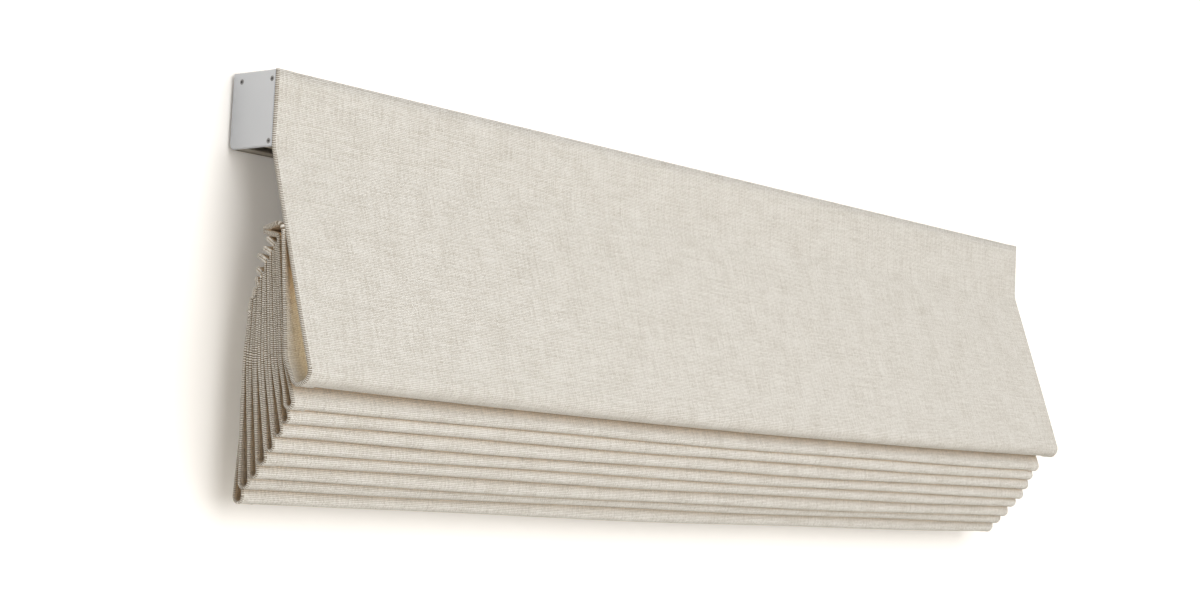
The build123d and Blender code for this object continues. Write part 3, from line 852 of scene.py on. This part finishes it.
def grain_group():
    """Fine grain on Object coordinates, stretched by a factor for each axis, as height and as a mask."""
    group, given, result = new_group(
        "fine_grain",
        [("Stretch", VECTOR, (1, 1, 1)), ("Scale", FLOAT, 400.0), ("Contrast", FLOAT, 1.0)],
        [("Height", FLOAT), ("Mask", FLOAT)],
    )
    place = add_node(group, "ShaderNodeTexCoord").outputs["Object"]
    fine = noise(group, stretched(group, place, given.outputs["Stretch"]), given.outputs["Scale"], 3.0)
    broad = noise(group, place, BROAD_SCALE, 4.0)
    mask = maths(group, "ADD", maths(group, "MULTIPLY", fine, 0.5), maths(group, "MULTIPLY", broad, 0.5))
    group.links.new(fine, result.inputs["Height"])
    group.links.new(added_contrast(group, mask, given.outputs["Contrast"], 0.5), result.inputs["Mask"])
    return group


def new_material(name):
    """An empty node material with its tree and output node."""
    material = bpy.data.materials.new(name)
    material.use_nodes = True
    tree = material.node_tree
    tree.nodes.clear()
    return material, tree, tree.nodes.new("ShaderNodeOutputMaterial")


def linen_material():
    """Bleached linen: a plain weave with slubs, darker gaps and slow changes of tone.

    Each change is a mask between two colours: raw thread in the weave, painted shade in the gaps between the
    threads that turn round the hems' edges, and warm painted shade where ambient occlusion finds a deep
    fold.
    """
    cloth = bpy.context.scene.blind_cloth
    material, tree, output = new_material("bleached_linen")
    uv = add_node(tree, "ShaderNodeUVMap", uv_map="cloth_metres").outputs[0]
    weave = add_node(tree, "ShaderNodeGroup", node_tree=weave_group())
    tree.links.new(uv, weave.inputs["UV"])
    weave.inputs["Pitch"].default_value = cloth.thread_pitch
    blotch = noise(tree, uv, BLOTCH_SCALE, 3.0)
    fleck = noise(tree, uv, FLECK_SCALE, 2.0)
    tone = added_contrast(tree, weave.outputs["Tone"], THREAD_CONTRAST, BASE_TONE)
    tone = added_contrast(tree, blotch, BLOTCH_CONTRAST, tone)
    tone = added_contrast(tree, fleck, FLECK_CONTRAST, tone)
    tone = maths(tree, "MULTIPLY_ADD", weave.outputs["Gap"], GAP_CONTRAST, tone)
    tone = maths(tree, "MINIMUM", maths(tree, "MAXIMUM", tone, 0.0), 1.0)

    # Painted shade in the gaps between the threads at the hems' turned edges, stepped by the thread pitch
    # along the path
    split = add_node(tree, "ShaderNodeSeparateXYZ", {0: uv})
    turn = maths(tree, "FRACT", maths(tree, "DIVIDE", split.outputs[0], cloth.thread_pitch))
    between = maths(tree, "SUBTRACT", 1.0, maths(tree, "SINE", maths(tree, "MULTIPLY", turn, math.pi)))
    edge = ramp(tree, maths(tree, "ABSOLUTE", split.outputs[1]), EDGE_START, EDGE_END)
    gap_shade = maths(tree, "MULTIPLY", maths(tree, "MULTIPLY", between, edge), EDGE_SHADE_CONTRAST)
    gap_shade = maths(tree, "MINIMUM", gap_shade, 1.0)

    # Painted shade: the linen turns to a warm tint where ambient occlusion finds a deep fold
    openness = add_node(tree, "ShaderNodeAmbientOcclusion", {"Distance": FOLD_SHADE_REACH}, samples=6)
    depth = ramp(tree, openness.outputs["AO"], FOLD_SHADE_OPEN, FOLD_SHADE_SHUT)
    bleached = mixed(tree, depth, opaque(cloth.colour), opaque(cloth.fold_shade_colour))
    colour = mixed(tree, tone, bleached, opaque(cloth.shade_colour))
    colour = mixed(tree, gap_shade, colour, opaque(cloth.gap_shade_colour))
    bump = add_node(
        tree, "ShaderNodeBump",
        {"Height": weave.outputs["Height"], "Distance": THREAD_RELIEF, "Strength": 0.9},
    )
    shader = add_node(
        tree, "ShaderNodeBsdfPrincipled",
        {"Base Color": colour, "Roughness": 0.9, "Normal": bump.outputs[0], "Sheen Weight": 0.1},
    )
    tree.links.new(shader.outputs[0], output.inputs[0])
    return material


def finishes():
    """Each slot's colour, roughness and metallic, and its grain's stretch, scale, contrast and depth."""
    rail = bpy.context.scene.blind_rail
    return {
        "rail_aluminium": (rail.aluminium, rail.roughness, 1.0, (1, 40, 40), 60.0, 0.35, 0.00002),
        "plate_aluminium": (rail.plate, 0.45, 1.0, (1, 1, 1), 1500.0, 0.3, 0.00002),
        "screw_steel": (rail.screws, 0.35, 1.0, (1, 1, 1), 900.0, 0.5, 0.00002),
        "strip_white": ((0.82, 0.82, 0.79), 0.95, 0.0, (1, 1, 1), 1600.0, 0.6, 0.0003),
        "linen_cloth": ((0.78, 0.75, 0.69), 0.9, 0.0, (1, 1, 1), 900.0, 0.3, 0.0001),
        "clear_plastic": ((0.80, 0.80, 0.77), 0.3, 0.0, (1, 1, 1), 300.0, 0.2, 0.00002),
        "tube_steel": ((0.55, 0.56, 0.58), 0.38, 1.0, (1, 1, 1), 90.0, 0.9, 0.00002),
        "white_plastic": ((0.80, 0.80, 0.78), 0.42, 0.0, (1, 1, 1), 700.0, 0.2, 0.00003),
        "motor_steel": ((0.035, 0.035, 0.038), 0.35, 0.0, (1, 1, 1), 500.0, 0.3, 0.00003),
        "black_plastic": ((0.018, 0.018, 0.02), 0.48, 0.0, (1, 1, 1), 900.0, 0.3, 0.00005),
        "button_plastic": ((0.45, 0.45, 0.45), 0.4, 0.0, (1, 1, 1), 900.0, 0.2, 0.00003),
        "bracket_steel": ((0.72, 0.72, 0.71), 0.5, 0.0, (1, 1, 1), 1100.0, 0.2, 0.00008),
        "rib_fibreglass": ((0.74, 0.72, 0.60), 0.4, 0.0, (1, 30, 30), 40.0, 0.6, 0.00003),
    }


def grain_material(name, grain, colour, roughness, metallic, stretch, scale, contrast, depth):
    """A finish whose grain changes its tone, gloss and surface."""
    material, tree, output = new_material(name)
    given = add_node(tree, "ShaderNodeGroup", node_tree=grain)
    given.inputs["Stretch"].default_value = stretch
    given.inputs["Scale"].default_value = scale
    given.inputs["Contrast"].default_value = contrast
    darker = tuple(GRAIN_SHADE * value for value in colour)
    tint = mixed(tree, given.outputs["Mask"], opaque(darker), opaque(colour))
    gloss = maths(tree, "MULTIPLY_ADD", given.outputs["Mask"], -GLOSS_RANGE, roughness + GLOSS_RANGE / 2)
    bump = add_node(
        tree, "ShaderNodeBump", {"Height": given.outputs["Height"], "Distance": depth, "Strength": 0.6}
    )
    shader = add_node(
        tree, "ShaderNodeBsdfPrincipled",
        {"Base Color": tint, "Roughness": gloss, "Metallic": metallic, "Normal": bump.outputs[0]},
    )
    tree.links.new(shader.outputs[0], output.inputs[0])
    return material


def finish_with(piece, material):
    """Gives the piece one material in place of any it has."""
    piece.data.materials.clear()
    piece.data.materials.append(material)


def slot_nodes():
    """The nodes that each material slot of the record is used on."""
    found = {}
    for part in frame["record"]["subparts"]:
        found.setdefault(part["material_slot"], []).append(part["node"])
    return found


class BLIND_OT_hard_parts(bpy.types.Operator):
    """Gives the rail, plates, tube, brackets and small pieces their finishes"""

    bl_idname = "blind.hard_parts"
    bl_label = "Finish the hard parts"

    def execute(self, context):
        grain = grain_group()
        finish = finishes()
        nodes = slot_nodes()
        missing = sorted(set(nodes) - set(finish))
        if missing:
            raise RuntimeError(f"These slots have no finish: {missing}")
        for slot, names in nodes.items():
            material = grain_material(slot, grain, *finish[slot])
            for name in names:
                finish_with(frame["nodes"][name], material)
        return {"FINISHED"}


class BLIND_OT_cloth(bpy.types.Operator):
    """Builds the linen with its folds, pockets and side hems"""

    bl_idname = "blind.cloth"
    bl_label = "Hang the cloth"

    def execute(self, context):
        if "blind_cloth" not in frame["nodes"]:
            raise RuntimeError("The frame has no blind_cloth for the linen to replace")
        cloth = build_cloth()
        linen = linen_material()
        finish_with(cloth, linen)
        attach(cloth, "root")
        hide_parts("blind_cloth")
        edges = [build_hem_edge(side) for side in (-1, 1)]
        for edge in edges:
            finish_with(edge, linen)
            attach(edge, "root")
        return {"FINISHED"}


class BLIND_OT_stitches(bpy.types.Operator):
    """Sews the side hems and the bottom hem"""

    bl_idname = "blind.stitches"
    bl_label = "Sew the hems"

    def execute(self, context):
        grain = bpy.data.node_groups.get("fine_grain")
        if grain is None:
            raise RuntimeError("Finish the hard parts first, because the thread has their grain")
        stitches = build_stitches()
        thread = grain_material("cotton_thread", grain, *finishes()["linen_cloth"])
        finish_with(stitches, thread)
        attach(stitches, "root")
        return {"FINISHED"}


def backdrop_material():
    """Matt white seen from its front only, which glows a little to the camera.

    To the camera and to gloss it is solid, and it lets a share of the diffuse light through.
    """
    material, tree, output = new_material("studio_white")
    path = add_node(tree, "ShaderNodeLightPath")
    direct = maths(tree, "MAXIMUM", path.outputs["Is Camera Ray"], path.outputs["Is Glossy Ray"])
    solid = maths(tree, "MULTIPLY_ADD", direct, 1 - WALL_SHARE, WALL_SHARE)
    back = add_node(tree, "ShaderNodeNewGeometry").outputs["Backfacing"]
    seen = maths(tree, "MULTIPLY", solid, maths(tree, "SUBTRACT", 1.0, back))
    glow = maths(tree, "MULTIPLY", path.outputs["Is Camera Ray"], WALL_GLOW)
    matt = add_node(
        tree, "ShaderNodeBsdfPrincipled",
        {
            "Base Color": opaque(WALL_COLOUR), "Roughness": 1.0, "Specular IOR Level": 0.0,
            "Emission Color": WHITE, "Emission Strength": glow,
        },
    )
    clear = add_node(tree, "ShaderNodeBsdfTransparent")
    mix = add_node(tree, "ShaderNodeMixShader", {"Fac": seen})
    tree.links.new(clear.outputs[0], mix.inputs[1])
    tree.links.new(matt.outputs[0], mix.inputs[2])
    tree.links.new(mix.outputs[0], output.inputs[0])
    return material


def stage_plane(name, first, second, normal, distance, facing, material):
    """A flat square of points across two axes, at a distance along the third, that faces one way."""
    steps = np.linspace(-STAGE_REACH, STAGE_REACH, STAGE_POINTS)
    across, up = np.meshgrid(steps, steps)
    points = np.zeros((STAGE_POINTS ** 2, 3))
    points[:, first] = across.ravel()
    points[:, second] = up.ravel()
    points[:, normal] = distance
    plane = put_mesh(name, points, grid_faces(STAGE_POINTS, STAGE_POINTS, False))
    finish_with(plane, material)
    if plane.data.polygons[0].normal.dot(Vector(facing)) < 0:
        plane.data.flip_normals()
    return plane


def area_lamp(name, place, target, size, power, colour):
    """A rectangular area lamp at a place, pointing at a target."""
    light = bpy.data.lights.new(name, "AREA")
    light.shape = "RECTANGLE"
    light.size, light.size_y = size
    light.energy = power
    light.color = colour
    lamp = bpy.data.objects.new(name, light)
    bpy.context.scene.collection.objects.link(lamp)
    direction = Vector(target) - Vector(place)
    lamp.matrix_world = Matrix.Translation(place) @ direction.to_track_quat("-Z", "Y").to_matrix().to_4x4()
    return lamp


def set_sky(ambient):
    """White to the camera, gloss and glass, and a dimmer, warmer light to all else."""
    world = bpy.data.worlds.new("studio_sky")
    bpy.context.scene.world = world
    world.use_nodes = True
    tree = world.node_tree
    tree.nodes.clear()
    path = add_node(tree, "ShaderNodeLightPath")
    shown = maths(tree, "MAXIMUM", path.outputs["Is Camera Ray"], path.outputs["Is Glossy Ray"])
    shown = maths(tree, "MAXIMUM", shown, path.outputs["Is Transmission Ray"])
    dim = maths(tree, "SUBTRACT", 1.0, shown)
    strength = maths(tree, "MULTIPLY_ADD", dim, ambient - 1.0, 1.0)
    tint = mixed(tree, shown, opaque(SHADOW_COLOUR), WHITE)
    sky = add_node(tree, "ShaderNodeBackground", {"Color": tint, "Strength": strength})
    result = tree.nodes.new("ShaderNodeOutputWorld")
    tree.links.new(sky.outputs[0], result.inputs[0])


def set_camera(studio):
    """The camera at its place: turned round the blind, raised by its height angle and rolled."""
    camera = bpy.data.objects.new("photo_camera", bpy.data.cameras.new("photo_camera"))
    bpy.context.scene.collection.objects.link(camera)
    camera.data.sensor_width = SENSOR_WIDTH
    camera.data.lens = studio.lens
    camera.data.clip_start = CAMERA_NEAR
    camera.data.clip_end = CAMERA_FAR
    turn, height = studio.camera_azimuth, studio.camera_elevation
    back = Vector((
        math.sin(turn) * math.cos(height),
        -math.cos(turn) * math.cos(height),
        math.sin(height),
    ))
    level = back.to_track_quat("Z", "Y").to_matrix().to_4x4()
    roll = Matrix.Rotation(studio.camera_roll, 4, "Z")
    camera.matrix_world = Matrix.Translation(studio.camera_place) @ level @ roll
    bpy.context.scene.camera = camera


class BLIND_OT_studio(bpy.types.Operator):
    """Sets up the wall, floor, lamps, sky and camera"""

    bl_idname = "blind.studio"
    bl_label = "Set up the studio"

    def execute(self, context):
        studio = context.scene.blind_studio
        white = backdrop_material()
        wall = stage_plane("studio_wall", 0, 2, 1, WALL_PLACE, (0, -1, 0), white)
        floor = stage_plane("studio_floor", 0, 1, 2, FLOOR_LEVEL, (0, 0, 1), white)
        area_lamp("key_lamp", KEY_PLACE, KEY_TARGET, KEY_SIZE, studio.key_power, KEY_COLOUR)
        through = area_lamp(
            "light_through_face", FOLD_LIGHT_PLACE, FOLD_LIGHT_TARGET, FOLD_LIGHT_SIZE, studio.fold_power,
            FOLD_LIGHT_COLOUR,
        )
        through.visible_camera = False
        set_sky(studio.ambient)
        set_camera(studio)
        context.scene.view_settings.view_transform = "Standard"
        return {"FINISHED"}


class BLIND_PT_panel(bpy.types.Panel):
    """Steps that dress the blind"""

    bl_label = "Roman blind"
    bl_idname = "BLIND_PT_panel"
    bl_space_type = "VIEW_3D"
    bl_region_type = "UI"
    bl_category = "Blind"

    def draw(self, context):
        for operator in OPERATORS:
            self.layout.operator(operator.bl_idname)
        for group in (context.scene.blind_cloth, context.scene.blind_rail, context.scene.blind_studio):
            for name in group.__annotations__:
                self.layout.prop(group, name)


OPERATORS = (
    BLIND_OT_hard_parts,
    BLIND_OT_cloth,
    BLIND_OT_stitches,
    BLIND_OT_studio,
)
GROUPS = (CLOTH_PG_settings, RAIL_PG_settings, STUDIO_PG_settings)


def register():
    for item in (*GROUPS, *OPERATORS, BLIND_PT_panel):
        bpy.utils.register_class(item)
    bpy.types.Scene.blind_cloth = PointerProperty(type=CLOTH_PG_settings)
    bpy.types.Scene.blind_rail = PointerProperty(type=RAIL_PG_settings)
    bpy.types.Scene.blind_studio = PointerProperty(type=STUDIO_PG_settings)


def unregister():
    del bpy.types.Scene.blind_studio
    del bpy.types.Scene.blind_rail
    del bpy.types.Scene.blind_cloth
    for item in reversed((*GROUPS, *OPERATORS, BLIND_PT_panel)):
        bpy.utils.unregister_class(item)


def main():
    register()
    bpy.ops.blind.hard_parts()
    bpy.ops.blind.cloth()
    bpy.ops.blind.stitches()
    bpy.ops.blind.studio()


if __name__ == "__main__":
    main()
